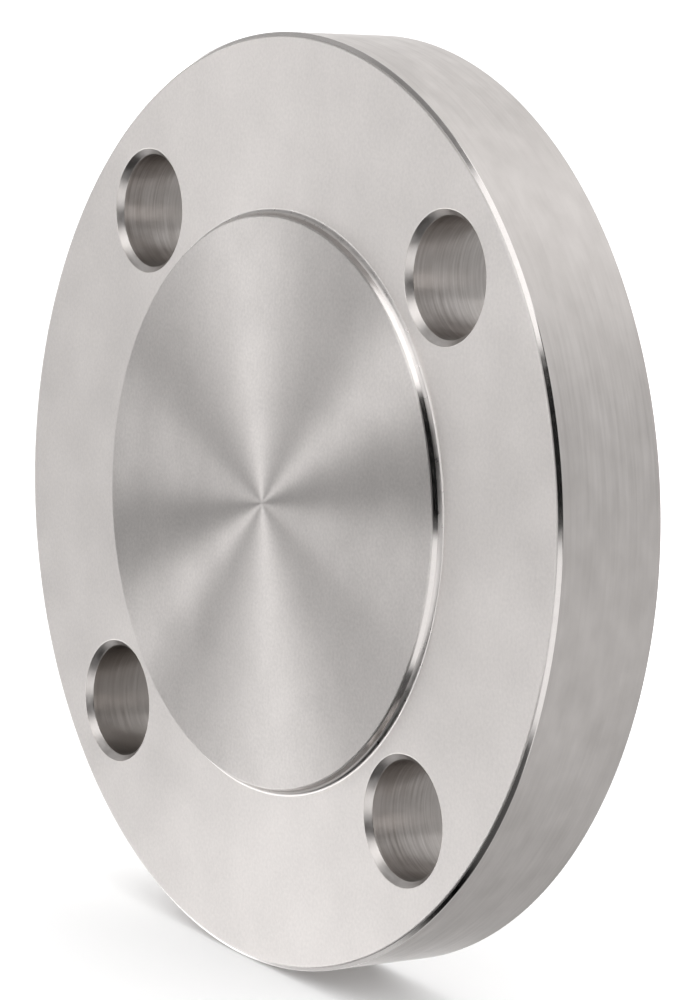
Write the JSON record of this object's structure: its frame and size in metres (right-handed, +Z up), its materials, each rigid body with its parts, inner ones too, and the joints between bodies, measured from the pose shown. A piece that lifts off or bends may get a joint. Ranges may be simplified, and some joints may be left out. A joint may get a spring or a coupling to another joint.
{
  "type": "blind flange",
  "caption": "Solid round blind flange with a raised gasket face and a circle of chamfered bolt holes; it closes the end of a pipe.",
  "frame": {"origin": "centre of the gasket face, which is the front plane of the raised face, on the flange's axis", "axes": "The flange stands upright. -Y is the outward normal of the gasket face, so +Y points from the gasket face into the flange and out of its back face. +Z is up, and the bolt holes straddle the vertical centre line. +X completes the right-handed frame."},
  "size_m": [0.1524, 0.0216, 0.1524],
  "materials": {
    "stainless_steel": "turned and faced all over: concentric tool marks on the gasket face, satin ring and back, finely turned rim, bright edge breaks, drilled bolt holes"
  },
  "bodies": {
    "root": {"blind_flange": "stainless_steel"}
  },
  "joints": []
}
